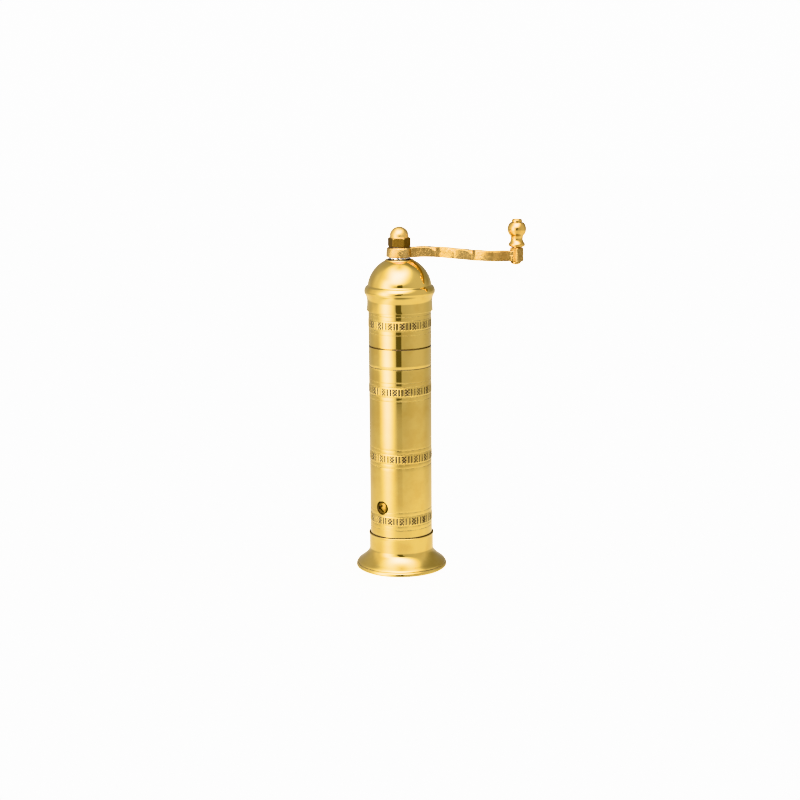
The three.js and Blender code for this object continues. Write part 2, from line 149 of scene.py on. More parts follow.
def make_world():
    """A studio of soft boxes, written as brightness by direction: azimuth and level, both in degrees."""
    world = bpy.data.worlds.new("studio")
    bpy.context.scene.world = world
    world.use_nodes = True
    g = Graph(world.node_tree)
    direction = g.add("ShaderNodeTexCoord").outputs["Generated"]
    split = g.add("ShaderNodeSeparateXYZ", {"Vector": direction})
    x, y, z = split.outputs
    azimuth = g.times(g.math("ARCTAN2", x, g.times(y, -1.0)), 180 / math.pi)
    upward = g.math("MINIMUM", g.math("MAXIMUM", z, -1.0), 1.0)
    level = g.times(g.math("ARCSINE", upward), 180 / math.pi)

    # plain fill: lighter low down, a little lighter from the sides, darker high up behind
    fill = g.ramp(level, -17.5, -11.5, 0.96, 0.61)
    fill = g.lerp(g.ramp(level, -72.0, -50.0, 1.0, 0.0), fill, 0.28)
    from_left = g.times(g.window(azimuth, -112, -72, 14, 10), g.ramp(level, -16.0, 0.0, 0.05, 0.28))
    fill = g.plus(fill, from_left)
    fill = g.plus(fill, g.times(g.window(azimuth, 36, 100, 26, 16), 0.10))
    high = g.ramp(level, -6.0, 8.0)
    fill = g.lerp(g.times(high, g.ramp(azimuth, 92.0, 130.0)), fill, 0.36)
    fill = g.lerp(g.times(high, g.ramp(azimuth, -155.0, -112.0, 1.0, 0.0)), fill, 0.49)

    def lobe(across, width, up, height):
        """A soft bump of brightness that falls off as exp(-distance squared)."""
        first, second = g.times(across, 1 / width), g.math("DIVIDE", up, height)
        return g.math("EXPONENT", g.times(g.plus(g.times(first, first), g.times(second, second)), -1.0))

    # a tall soft box on the left, dimmer below the table's edge
    left_box = lobe(g.plus(azimuth, -LEFT_BOX["azimuth"]), LEFT_BOX["width"], 0.0, 1.0)
    left_box = g.times(left_box, g.ramp(level, -15.6, -11.6, 0.29, 1.0))
    left_box = g.times(left_box, g.ramp(level, 16.0, 40.0, 1.0, 0.0))
    left_box = g.times(left_box, g.ramp(level, -80.0, -55.0))

    # a large soft box above and in front, leaning left as it comes down
    centre = g.plus(g.times(g.math("MINIMUM", level, 60.0), 0.42), -31.2)
    across = g.times(g.math("SUBTRACT", azimuth, centre), g.math("COSINE", g.times(level, math.pi / 180)))
    up = g.math("SUBTRACT", level, TOP_BOX["level"])
    height = g.ramp(level, 54.0, 58.0, 34.0, 17.5)
    top_box = g.times(lobe(across, TOP_BOX["width"], up, height), g.ramp(level, 15.0, 30.0))

    boxes = g.plus(g.times(left_box, LEFT_BOX["strength"]), g.times(top_box, TOP_BOX["strength"]))
    total = g.plus(fill, boxes)

    # a dark upright gap between the boxes in front, set a little to the right high up, with a grey foot
    turned = g.plus(azimuth, g.ramp(level, -2.0, 8.0, 0.0, -6.0))
    slot = g.times(g.window(turned, -14.6, 4.8, 0.9, 0.9), g.window(level, -12.2, 22.0, 0.6, 1.2))
    total = g.lerp(slot, total, 0.14)
    below_slot = g.times(g.window(azimuth, -13, 5.5, 3, 3), g.window(level, -15.5, -12.5, 1.0, 0.6))
    total = g.lerp(g.times(below_slot, 0.3), total, 0.45)

    seen = g.add("ShaderNodeLightPath").outputs["Is Camera Ray"]
    light = g.add("ShaderNodeBackground", {"Color": rgb(1, 1, 1), "Strength": total})
    backdrop = g.add("ShaderNodeBackground", {"Color": rgb(1, 1, 1), "Strength": BACKDROP})
    mix = g.add("ShaderNodeMixShader")
    g.put(seen, mix.inputs[0])
    g.put(light.outputs[0], mix.inputs[1])
    g.put(backdrop.outputs[0], mix.inputs[2])
    output = g.add("ShaderNodeOutputWorld")
    g.put(mix.outputs[0], output.inputs["Surface"])
    world.cycles.sampling_method = "MANUAL"
    world.cycles.sample_map_resolution = 1024


def make_floor():
    """A white table top that the brass does not mirror, 6 m across."""
    mesh = bpy.data.meshes.new("floor")
    half = 3.0
    corners = [(-half, -half, 0), (half, -half, 0), (half, half, 0), (-half, half, 0)]
    mesh.from_pydata(corners, [], [(0, 1, 2, 3)])
    floor = bpy.data.objects.new("floor", mesh)
    bpy.context.scene.collection.objects.link(floor)
    floor.visible_glossy = False
    floor.visible_diffuse = False
    material = bpy.data.materials.new("pale_floor")
    material.use_nodes = True
    g = Graph(material.node_tree)
    matt = g.add("ShaderNodeBsdfDiffuse", {"Color": rgb(0.2, 0.2, 0.2)})
    lit = g.add("ShaderNodeEmission", {"Color": rgb(1, 1, 1), "Strength": 3.4})
    both = g.add("ShaderNodeAddShader")
    g.put(matt.outputs[0], both.inputs[0])
    g.put(lit.outputs[0], both.inputs[1])
    output = g.add("ShaderNodeOutputMaterial")
    g.put(both.outputs[0], output.inputs["Surface"])
    mesh.materials.append(material)


# ---------------------------------------------------------------- materials


def metal(
    name, colour, tarnish, rough, rough_spread=0.3, lines=0.0,
    grain=0.0, grain_scale=1600.0, recess=None, recess_metal=0.1, specks=0.0,
):
    """A metal with patchy tarnish, uneven polish, fine turning lines and a cast grain.

    recess is the colour laid where the mesh's "recess" attribute is up: dark oxide in engraved marks, turned
    lines and on the nut's flats, and painted shade in gaps, the cup's crease and mouth and on the casting;
    recess_metal says how metallic it still is.
    """
    material = bpy.data.materials.new(name)
    material.use_nodes = True
    g = Graph(material.node_tree)
    position = g.add("ShaderNodeTexCoord").outputs["Object"]
    cloud = g.noise(position, 90.0, 4.0, 0.6)
    smudge = g.noise(position, 260.0, 5.0, 0.65)
    tone = g.blend(g.ramp(cloud, 0.38, 0.72), rgb(*colour), rgb(*tarnish))
    if specks:
        fleck = g.noise(position, 1500.0, 3.0, 0.7)
        dark = tuple(c * 0.35 for c in tarnish)
        tone = g.blend(g.times(g.ramp(fleck, 0.56, 0.72), specks), tone, rgb(*dark))
    roughness = g.lerp(smudge, rough * (1 - rough_spread), rough * (1 + rough_spread))
    if recess:
        # the attribute holds dark oxide in cuts and painted shade in gaps, creases and on the casting
        darkening = g.add("ShaderNodeAttribute", attribute_name="recess").outputs["Fac"]
        mottle = g.plus(g.times(g.noise(position, 900.0, 2.0), 0.6), 0.85)
        depth = g.math("MINIMUM", g.times(darkening, mottle), 1.0)
        tone = g.blend(depth, tone, rgb(*recess))
        roughness = g.lerp(depth, roughness, 0.5)
    height = None
    if lines:
        squeeze = g.add("ShaderNodeMapping", {"Scale": (60.0, 60.0, 5200.0)})
        g.put(position, squeeze.inputs["Vector"])
        height = g.times(g.noise(squeeze.outputs[0], 1.0, 3.0, 0.6), lines)
    if grain:
        pits = g.times(g.noise(position, grain_scale, 4.0, 0.65), grain)
        height = pits if height is None else g.plus(height, pits)
    shader = g.add("ShaderNodeBsdfPrincipled", {"Metallic": 1.0, "Specular IOR Level": 0.2})
    g.put(tone, shader.inputs["Base Color"])
    g.put(roughness, shader.inputs["Roughness"])
    if recess and recess_metal < 1:
        g.put(g.lerp(depth, 1.0, recess_metal), shader.inputs["Metallic"])
    if height is not None:
        bump = g.add("ShaderNodeBump", {"Strength": 1.0, "Distance": 0.0001})
        g.put(height, bump.inputs["Height"])
        g.put(bump.outputs[0], shader.inputs["Normal"])
    output = g.add("ShaderNodeOutputMaterial")
    g.put(shader.outputs[0], output.inputs["Surface"])
    return material


def fibre(name):
    """Pressed black fibre board, faintly speckled."""
    material = bpy.data.materials.new(name)
    material.use_nodes = True
    g = Graph(material.node_tree)
    position = g.add("ShaderNodeTexCoord").outputs["Object"]
    speck = g.noise(position, 2200.0, 4.0, 0.7)
    tone = g.blend(g.ramp(speck, 0.35, 0.75), rgb(0.010, 0.009, 0.009), rgb(0.035, 0.030, 0.027))
    shader = g.add("ShaderNodeBsdfPrincipled", {"Base Color": tone})
    g.put(g.lerp(speck, 0.45, 0.8), shader.inputs["Roughness"])
    bump = g.add("ShaderNodeBump", {"Strength": 1.0, "Distance": 0.00008, "Height": speck})
    g.put(bump.outputs[0], shader.inputs["Normal"])
    output = g.add("ShaderNodeOutputMaterial")
    g.put(shader.outputs[0], output.inputs["Surface"])
    return material


MATERIALS = {
    # its recess colour is the engraving's dark oxide and the painted shade of gap lines and the cup's crease
    "polished_brass": metal(
        "polished_brass", (0.90, 0.63, 0.19), (0.84, 0.56, 0.155), 0.045, 0.35,
        lines=0.010, recess=(0.020, 0.012, 0.010),
    ),
    "plain_brass": metal(
        "plain_brass", (0.80, 0.53, 0.16), (0.62, 0.38, 0.11), 0.30, lines=0.12, specks=0.3,
    ),
    # its dark colour paints the casting's shade, with random brown tone
    "cast_brass": metal(
        "cast_brass", (0.75, 0.49, 0.18), (0.52, 0.31, 0.095), 0.26, 0.3,
        grain=1.3, grain_scale=2300.0, recess=(0.25, 0.145, 0.045), recess_metal=1.0, specks=0.55,
    ),
    "turned_brass": metal(
        "turned_brass", (0.88, 0.565, 0.175), (0.78, 0.46, 0.12), 0.12, 0.4, lines=0.03, specks=0.25,
    ),
    "dark_brass": metal(
        "dark_brass", (0.92, 0.62, 0.22), (0.80, 0.50, 0.15), 0.30, 0.2,
        grain=0.10, recess=(0.17, 0.095, 0.024), recess_metal=1.0, specks=0.35,
    ),
    # darker brass for the screw heads: painted shade for heads that sit down in their holes
    "shaded_screw_brass": metal(
        "shaded_screw_brass", (0.26, 0.15, 0.03), (0.13, 0.07, 0.018), 0.30, 0.3, grain=0.1, specks=0.5,
    ),
    # near-black painted shade for the screw holes' walls and the screws' cross recesses and seats
    "painted_hole_shade": metal(
        "painted_hole_shade", (0.020, 0.011, 0.004), (0.008, 0.005, 0.002), 0.5, 0.3, grain=0.3, specks=0.6,
    ),
    "bright_steel": metal(
        "bright_steel", (0.74, 0.74, 0.75), (0.58, 0.58, 0.60), 0.16, 0.4, lines=0.08,
    ),
    "tool_steel": metal(
        "tool_steel", (0.26, 0.25, 0.25), (0.16, 0.15, 0.15), 0.38, 0.3, grain=0.25, specks=0.3,
    ),
    "black_fibre": fibre("black_fibre"),
}

# ---------------------------------------------------------------- shaping helpers


def arc(centre_r, centre_z, radius, start, end, steps):
    """Profile points round a centre, between two angles in degrees from the horizontal."""
    angles = [math.radians(start + (end - start) * i / steps) for i in range(steps + 1)]
    return [(centre_r + radius * math.cos(a), centre_z + radius * math.sin(a)) for a in angles]


def bend(start, pull, end, steps):
    """Points of a smooth bend between two profile points, pulled towards a third."""
    points = []
    for i in range(steps + 1):
        t = i / steps
        points.append(tuple(
            (1 - t) ** 2 * a + 2 * t * (1 - t) * b + t * t * c for a, b, c in zip(start, pull, end)
        ))
    return points


def through(points, steps):
    """A smooth curve through all the points."""
    before_first = tuple(2 * a - b for a, b in zip(points[0], points[1]))
    after_last = tuple(2 * a - b for a, b in zip(points[-1], points[-2]))
    guides = [before_first, *points, after_last]
    curve = []
    for before, start, end, after in zip(guides, guides[1:], guides[2:], guides[3:]):
        for i in range(steps):
            t = i / steps
            curve.append(tuple(
                0.5 * (
                    2 * b + (c - a) * t + (2 * a - 5 * b + 4 * c - d) * t * t
                    + (3 * b - a - 3 * c + d) * t ** 3
                )
                for a, b, c, d in zip(before, start, end, after)
            ))
    return [*curve, points[-1]]


def rounded(profile, radius, closed=True, steps=4, least=12.0):
    """The profile with its corners turned to small curves. Corners flatter than least degrees stay."""
    count = len(profile)
    result = []
    for i, point in enumerate(profile):
        on_end = not closed and i in (0, count - 1)
        here = Vector(point)
        before, after = Vector(profile[i - 1]) - here, Vector(profile[(i + 1) % count]) - here
        if on_end or before.length < 1e-6 or after.length < 1e-6:
            result.append(tuple(here))
            continue
        turn = 180 - math.degrees(before.angle(after))
        if turn < least:
            result.append(tuple(here))
            continue
        reach = min(radius * math.tan(math.radians(turn) / 2), before.length * 0.45, after.length * 0.45)
        start, end = here + before.normalized() * reach, here + after.normalized() * reach
        result += bend(tuple(start), tuple(here), tuple(end), steps)
    return result


def finish_mesh(mesh, sharp=None):
    """Smooth shading, sharp only where the surface turns by more than that many degrees."""
    mesh.validate()
    for polygon in mesh.polygons:
        polygon.use_smooth = True
    if sharp:
        mesh.set_sharp_from_angle(angle=math.radians(sharp))
    mesh.update()


def to_object(name, mesh):
    thing = bpy.data.objects.new(name, mesh)
    bpy.context.scene.collection.objects.link(thing)
    return thing


def mesh_of(name, vertices, faces, sharp=None):
    mesh = bpy.data.meshes.new(name)
    mesh.from_pydata([tuple(c * MM for c in v) for v in vertices], [], faces)
    finish_mesh(mesh, sharp)
    return mesh


def lathe(name, profile, segments=192, at=(0.0, 0.0), radius_of=None, sharp=None, darkening=None):
    """A turned solid from (radius, z) points, anticlockwise. Points on the axis close it, or it is a ring.

    radius_of(radius, z, azimuth, row) may change the radius and height round the axis, and the last argument
    says how much dark finish each row has: the brown of the nut's flats and painted shade in the cup.
    """
    vertices, rows = [], []
    for index, (r, z) in enumerate(profile):
        if r < 1e-6:
            rows.append([len(vertices)])
            vertices.append((at[0], at[1], z))
            continue
        row = []
        for i in range(segments):
            azimuth = 2 * math.pi * i / segments
            radius, height = radius_of(r, z, azimuth, index) if radius_of else (r, z)
            row.append(len(vertices))
            x, y = at[0] + radius * math.sin(azimuth), at[1] - radius * math.cos(azimuth)
            vertices.append((x, y, height))
        rows.append(row)
    pairs = list(zip(rows, rows[1:]))
    if len(rows[0]) > 1 and len(rows[-1]) > 1:
        pairs.append((rows[-1], rows[0]))
    faces = []
    for low, high in pairs:
        for i in range(segments):
            j = (i + 1) % segments
            if len(low) == 1 and len(high) == 1:
                continue
            if len(low) == 1:
                faces.append((low[0], high[j], high[i]))
            elif len(high) == 1:
                faces.append((low[i], low[j], high[0]))
            else:
                faces.append((low[i], low[j], high[j], high[i]))
    mesh = mesh_of(name, vertices, faces, sharp)
    if darkening:
        mark = mesh.attributes.new("recess", "FLOAT", "POINT")
        mark.data.foreach_set("value", [darkening(index) for index, row in enumerate(rows) for _ in row])
    return to_object(name, mesh)


def weigh_normals(thing):
    """Lets the large faces rule the shading, so that rounded corners look crisp."""
    modifier = thing.modifiers.new("normals", "WEIGHTED_NORMAL")
    modifier.keep_sharp = True
    modifier.weight = 100


def bake(thing):
    """Applies the object's modifiers to its mesh."""
    depsgraph = bpy.context.evaluated_depsgraph_get()
    mesh = bpy.data.meshes.new_from_object(thing.evaluated_get(depsgraph), depsgraph=depsgraph)
    thing.modifiers.clear()
    old = thing.data
    thing.data = mesh
    mesh.name = thing.name
    bpy.data.meshes.remove(old)
    return thing


def boolean(thing, operation, *tools):
    """Cuts the tools from the object or joins them to it, and removes them."""
    for tool in tools:
        modifier = thing.modifiers.new("tool", "BOOLEAN")
        modifier.operation = operation
        modifier.solver = "EXACT"
        modifier.object = tool
    bake(thing)
    for tool in tools:
        mesh = tool.data
        bpy.data.objects.remove(tool)
        bpy.data.meshes.remove(mesh)
    return thing


def block(name, size, centre, turn=None):
    """A cutter for booleans."""
    mesh = bpy.data.meshes.new(name)
    shape = bmesh.new()
    bmesh.ops.create_cube(shape, size=1.0)
    stretch = Matrix.Diagonal((*[s * MM for s in size], 1))
    shape.transform(Matrix.Translation(Vector(centre) * MM) @ (turn or Matrix.Identity(4)) @ stretch)
    shape.to_mesh(mesh)
    shape.free()
    return to_object(name, mesh)


def dress(thing, material, body, nodes=()):
    """Gives a piece its material and slot, and puts it on its body in place of the CAD nodes."""
    thing.data.materials.clear()
    thing.data.materials.append(MATERIALS[material])
    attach(thing, body)
    if nodes:
        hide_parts(*nodes)
    return thing


def painted_hole_shade(thing, inside):
    """Gives the faces whose centre passes the test, in mm, a near-black material: painted hole shade."""
    thing.data.materials.append(MATERIALS["painted_hole_shade"])
    for polygon in thing.data.polygons:
        if inside(polygon.center / MM, polygon.normal):
            polygon.material_index = 1


# ---------------------------------------------------------------- engraved tubes

BARREL_R, BORE_R = 20.5, 19.7
BARREL_BOTTOM, BARREL_TOP = 13.5, 149.2
SLEEVE_BOTTOM, SLEEVE_TOP = 149.6, 178.0
STRIP_HALF, STRIP_PROUD = 2.6, 0.12  # raised strip of each band
REPEATS = 16  # of the engraved motif round the tube
COLUMNS = REPEATS * 36
CUT_HALF, CUT_DEPTH = 2.2, 0.2  # half height and depth of the engraved marks
BAR_HALF, BLOCK_HALF = 1.25, 4.3  # half widths of a bar and a hatched block, in degrees
HATCH_PITCH, HATCH_HALF = 2.05, 0.46
BAND_GROOVES = (-6.0, -3.4, 3.4, 6.0)  # fine turned lines, from the middle of the band
BAND_ZONE = 6.5  # the rows of a band reach this far from its middle
BARREL_BANDS = ((35.3, 1.4), (77.0, 6.3), (121.4, 13.0))  # height of each, and azimuth of its first block
HEAD_BAND = (164.5, 4.5)
TURNED_LINE = (136.2, 0.1)  # height and depth
EDGE_EASE = 0.16  # how far a tube's ends are rounded off


def engraving(centre, first, azimuth, z):
    """How deep, from 0 to 1, a band's marks are at a place: in each repeat a hatched block and two bars."""
    height = abs(z - centre)
    if height > CUT_HALF + 0.05:
        return 0.0
    pitch = 360 / REPEATS
    across = (math.degrees(azimuth) - first + pitch / 2) % pitch - pitch / 2
    repeat = round((math.degrees(azimuth) - first - across) / pitch) % REPEATS
    wobble = 0.35 * math.sin(repeat * 2.1 + centre)
    for bar in (7.8 + wobble, -8.2 + wobble * 0.5):
        if abs(across - bar) < BAR_HALF:
            return 1.0
    if abs(across) > BLOCK_HALF:
        return 0.0
    u, v = across / BLOCK_HALF * 1.54, z - centre
    first_line = abs((u + v + 0.8 * wobble) % HATCH_PITCH - HATCH_PITCH / 2)
    second_line = abs((u - v - 0.6 * wobble) % HATCH_PITCH - HATCH_PITCH / 2)
    return 1.0 if min(first_line, second_line) < HATCH_HALF else 0.3


def band_rows(centre):
    """Heights of the mesh rows that a band needs: over its fine grooves, strip edges and engraved marks."""
    rows = [centre + groove + d for groove in BAND_GROOVES for d in (-0.32, -0.16, 0.0, 0.16, 0.32)]
    rows += [centre + side * e for side in (-1, 1) for e in (2.86, 2.76, 2.68, 2.52, 2.44, 2.34, 2.25)]
    step = 0.2
    count = int(round(2 * CUT_HALF / step))
    rows += [centre - CUT_HALF + step * i for i in range(count + 1)]
    return rows


def strip_height(offset):
    """The raised strip's height across its edge, with the corners eased."""
    edge = abs(offset) - STRIP_HALF
    t = min(1.0, max(0.0, (0.2 - edge) / 0.4))
    return STRIP_PROUD * t * t * (3 - 2 * t)


def tube_levels(bottom, top, bands, grooves, easings, more):
    """Heights of all the mesh rows of a tube: close where it is cut, and 2 mm apart on the plain wall."""
    ease_low, ease_high = easings
    ends = [bottom + ease_low * t for t in (0.0, 0.3, 1.0)] + [top - ease_high * t for t in (0.0, 0.3, 1.0)]
    lines = [z + d for z, _ in grooves for d in (-0.3, -0.15, 0.0, 0.15, 0.3)]
    plain = [bottom + 1 + 2.0 * i for i in range(int((top - bottom - 2) / 2.0) + 1)]
    plain = [z for z in plain if all(abs(z - centre) > BAND_ZONE for centre, _ in bands)]
    banded = [z for centre, _ in bands for z in band_rows(centre)]
    return sorted({round(z, 3) for z in ends + lines + plain + list(more) + banded})


def engraved_tube(name, bottom, top, bands, grooves=(), easings=(0.25, 0.25), painted_shade=lambda z: 0.0, more=()):
    """A tube with raised, engraved bands and turned grooves, darkened by oxide in its cuts and painted
    shade.

    easings are the heights over which the lower and upper edge are rounded, the next argument gives painted
    shade for the gap lines by height, and more are heights that need a mesh row of their own.
    """
    ease_low, ease_high = easings
    levels = tube_levels(bottom, top, bands, grooves, easings, more)
    rng = random.Random(7)
    phases = [[rng.uniform(0, 2 * math.pi) for _ in range(4)] for _ in range(12)]

    def unevenness(azimuth, index):
        """How strongly a turned line is cut, about 0.75, as the tool chattered round the tube."""
        wave = sum(math.sin(azimuth * n + phases[index % 12][k]) for k, n in enumerate((3, 7, 13, 29)))
        return 0.75 + 0.16 * wave

    def surface(z, azimuth):
        """Radius and dark finish, oxide in the cuts and painted shade, at a place on the outside."""
        radius, mark = BARREL_R, 0.0
        for number, (centre, first) in enumerate(bands):
            offset = z - centre
            if abs(offset) > 7:
                continue
            radius += strip_height(offset)
            deep = engraving(centre, first, azimuth, z)
            radius -= CUT_DEPTH * deep
            mark = max(mark, deep * (0.9 + 0.1 * math.sin(azimuth * 5 + centre)))
            for index, groove in enumerate(BAND_GROOVES):
                near = max(0.0, 1 - abs(offset - groove) / 0.2)
                if near:
                    amount = unevenness(azimuth, number * 4 + index)
                    radius -= 0.035 * near * amount
                    mark = max(mark, min(1.0, 1.2 * near) * amount)
        for index, (level, depth) in enumerate(grooves):
            near = max(0.0, 1 - abs(z - level) / 0.31)
            if near:
                amount = unevenness(azimuth, 5 + index)
                radius -= depth * near * (0.6 + 0.4 * amount)
                mark = max(mark, min(1.0, near * 1.8) * (0.7 + 0.3 * amount))
        if z < bottom + ease_low:
            radius -= EDGE_EASE * (1 - (z - bottom) / ease_low) ** 2
        if z > top - ease_high:
            radius -= EDGE_EASE * (1 - (top - z) / ease_high) ** 2
        return radius, max(mark, painted_shade(z))

    vertices, darkening = [], []
    turns = [2 * math.pi * i / COLUMNS for i in range(COLUMNS)]
    for z in levels:
        for azimuth in turns:
            radius, mark = surface(z, azimuth)
            vertices.append((radius * math.sin(azimuth), -radius * math.cos(azimuth), z))
            darkening.append(mark)
    for z in (top, bottom):
        for azimuth in turns:
            vertices.append((BORE_R * math.sin(azimuth), -BORE_R * math.cos(azimuth), z))
            darkening.append(0.0)
    faces = []
    rows = len(levels) + 2
    for row in range(rows):
        low, high = row * COLUMNS, (row + 1) % rows * COLUMNS
        for i in range(COLUMNS):
            j = (i + 1) % COLUMNS
            faces.append((low + i, low + j, high + j, high + i))
    mesh = mesh_of(name, vertices, faces)
    mark = mesh.attributes.new("recess", "FLOAT", "POINT")
    mark.data.foreach_set("value", darkening)
    mesh.set_sharp_from_angle(angle=math.radians(50))
    return to_object(name, mesh)


SCREW_Z = 43.7
SCREW_HOLE_R = 4.6
SCREW_SEAT = 19.55  # radius at which the screw heads sit
SCREW_AZIMUTHS = {"side_screw_front": -37.5, "side_screw_rear": 142.5}
CUP_TOP = 23.6


def radial(azimuth):
    """Turns a piece built along +Z so that it stands radially at that azimuth, at the screws' height."""
    outward = Matrix.Rotation(math.radians(azimuth), 4, "Z") @ Matrix.Rotation(math.radians(90), 4, "X")
    return Matrix.Translation((0, 0, SCREW_Z * MM)) @ outward


def barrel_gap_shade(z):
    """Painted shade: dark lines at the mouth of the cup and under the head, over the gaps there."""
    return 1.0 if z > 148.92 or 23.3 < z < 24.25 else 0.0


# Painted shade: a dark line along the sleeve's lower edge, over the gap above the barrel.
def sleeve_gap_shade(z):
    return 1.0 if z < 149.88 else 0.0


def in_screw_hole(point, normal):
    """True on the wall of a screw hole, for a point in mm; that wall gets painted shade."""
    spot = point - Vector((0, 0, SCREW_Z))
    for azimuth in map(math.radians, SCREW_AZIMUTHS.values()):
        outward = Vector((math.sin(azimuth), -math.cos(azimuth), 0))
        out = spot.dot(outward)
        aside = (spot - outward * out).length
        if out > 0 and aside < SCREW_HOLE_R + 0.05 and abs(normal.dot(outward)) < 0.3:
            return True
    return False


def make_barrel():
    # painted shade along the gaps at the cup's mouth and under the head goes on with the engraving
    barrel = engraved_tube(
        "main_barrel_tube", BARREL_BOTTOM, BARREL_TOP, BARREL_BANDS, grooves=(TURNED_LINE,),
        easings=(0.25, 0.3), painted_shade=barrel_gap_shade, more=(22.9, 23.2, 23.4, 23.8, 24.24, 24.34, 148.8, 148.93),
    )
    cutters = []
    for azimuth in SCREW_AZIMUTHS.values():
        cutter = lathe("hole", [(0, 17), (SCREW_HOLE_R, 17), (SCREW_HOLE_R, 23), (0, 23)], 64)
        cutter.data.transform(radial(azimuth))
        cutters.append(cutter)
    boolean(barrel, "DIFFERENCE", *cutters)
    finish_mesh(barrel.data, 50)
    dress(barrel, "polished_brass", "barrel", nodes=("main_barrel",))
    # painted shade on the walls of the screw holes
    painted_hole_shade(barrel, in_screw_hole)

    sleeve = engraved_tube(
        "head_sleeve_tube", SLEEVE_BOTTOM, SLEEVE_TOP, (HEAD_BAND,), easings=(0.3, 0.2),
        painted_shade=sleeve_gap_shade, more=(149.87, 150.0),
    )
    dress(sleeve, "polished_brass", "head", nodes=("head_sleeve",))

    wall = [(18.8, 137), (19.4, 137), (19.4, 158), (18.8, 158)]
    spigot = lathe("head_spigot_sleeve", rounded(wall, 0.25), 192)
    weigh_normals(spigot)
    dress(spigot, "plain_brass", "barrel", nodes=("head_spigot",))


def in_screw_shadow(point, normal):
    """True in the cross recess of a side screw and on its seat, before it is turned outwards."""
    if point.z < SCREW_SEAT - 0.3:
        return False
    in_cross = math.hypot(point.x, point.y) < 3.4 and (normal.z < 0.3 or point.z < SCREW_SEAT + 0.8)
    return in_cross or point.z < SCREW_SEAT + 0.1


def make_screws():
    """The side screws' low domed heads, each with a worn cross recess struck off its middle."""
    seat = SCREW_SEAT
    crown = bend((3.55, seat + 0.85), (2.7, seat + 1.45), (0.6, seat + 1.64), 8)
    profile = [
        (0, 16.4), (2, 16.4), (2, seat - 0.1), (4.15, seat - 0.1), (4.15, seat),
        (3.62, seat + 0.02), (3.62, seat + 0.7), *crown, (0, seat + 1.65),
    ]
    for name, azimuth in SCREW_AZIMUTHS.items():
        screw = lathe(name + "_head", rounded(profile, 0.12, closed=False), 72)
        tools = []
        for angle, length, shift in ((-42, 5.2, 1.1), (42, 4.2, 0.6)):
            turn = Matrix.Rotation(math.radians(angle), 4, "Z")
            centre = turn @ Vector((shift, 0, seat + 1.95))
            place = (centre.x - 1.3, centre.y + 0.1, centre.z)
            tools.append(block("slot", (length, 1.1, 2.5), place, turn))
        boolean(screw, "DIFFERENCE", *tools)
        finish_mesh(screw.data, 35)
        # the darker brass and near-black faces on the heads are painted shade for heads sitting in their
        # holes
        dress(screw, "shaded_screw_brass", "barrel", nodes=(name,))
        painted_hole_shade(screw, in_screw_shadow)
        screw.data.transform(radial(azimuth))


# ---------------------------------------------------------------- foot and head


def make_cup():
    """The grounds cup: a flared foot with a rolled rim, a straight wall, a beaded mouth and a deep well."""
    wall_r, bore_r, well_r = 21.13, 20.9, 19.4
    rim = bend((27.4, 0.0), (30.4, 0.2), (30.0, 1.7), 10)
    lip = bend((30.0, 1.7), (29.95, 2.75), (29.35, 3.0), 5)[1:]
    flare = through(
        [
            (29.1, 3.15), (29.2, 3.55), (28.75, 4.15), (27.75, 4.95), (26.4, 5.95), (25.05, 7.05),
            (23.8, 8.2), (22.75, 9.35), (22.05, 10.3), (21.58, 11.2), (21.28, 12.1), (21.15, 13.1),
            (wall_r, 14.4),
        ],
        5,
    )
    mouth = [
        (21.18, 22.3), (21.40, 22.8), (21.47, 23.15), (21.45, 23.45), (21.3, CUP_TOP),
        (21.02, CUP_TOP), (20.92, 23.5), (bore_r, 23.3),
    ]
    profile = [
        (0, 0), (20, 0), *rim, *lip, *flare, (wall_r, 16), (wall_r, 18), (wall_r, 21.9), *mouth,
        (bore_r, 13.4), (well_r, 13.4), (well_r, 3.4),
        *bend((well_r, 3.4), (well_r, 2.0), (18, 2.0), 5)[1:], (0, 2),
    ]

    def painted_shade(row):
        """Painted shade in the crease above the rolled rim and inside the mouth, where the barrel stands."""
        r, z = profile[row]
        in_crease = 29.0 < r < 29.38 and 2.9 < z < 3.3
        in_mouth = r < 21.1 and z > 20
        return 0.85 if in_crease else 1.0 if in_mouth else 0.0

    cup = lathe("grounds_cup_foot", profile, 256, sharp=40, darkening=painted_shade)
    weigh_normals(cup)
    dress(cup, "polished_brass", "cup", nodes=("grounds_cup",))


def make_dome():
    """The spun dome, from its bell mouth over the sleeve up to the collar round the gasket."""
    dome_z, dome_r, sheet = 185.9, 21, 0.8
    mouth = [(20.85, 172.4), (21.5, 172.4), (21.58, 172.5), (21.54, 172.75), (21.44, 174), (21.3, 175.5)]
    neck = bend((21.22, 178.2), (21.25, 181.0), (22.4, 182.9), 14)
    bead = through(
        [
            (22.85, 183.7), (22.99, 184.2), (23.05, 184.8), (23.03, 185.4),
            (22.89, 186.1), (22.6, 186.9), (22.2, 187.7),
        ],
        4,
    )
    shell = arc(0, dome_z, dome_r, 7.8, 61.8, 48)
    rolled = arc(8.78, 204.62, 0.68, -40, 175, 16)
    collar = [(9.75, 204.15), (9.5, 204.08), (9.33, 204.14), *rolled, (8.05, 204.45)]
    well = [(7.95, 204.3), (5.9, 204.3), (5.9, 203.3), (9.5, 203.3)]
    inside = [*arc(0, dome_z, dome_r - sheet, 61.4, 6, 24), (21.8, 186.8), (21.5, 183.2), (20.8, 180.4)]
    profile = [
        *mouth, *neck, *bend(neck[-1], (22.65, 183.3), bead[0], 4)[1:-1],
        *bead, *bend(bead[-1], (21.6, 188.25), shell[0], 5)[1:-1], *shell, *collar, *well, *inside,
    ]
    dome = lathe("dome_lid_shell", profile, 256, sharp=50)
    dress(dome, "polished_brass", "head", nodes=("dome_lid",))


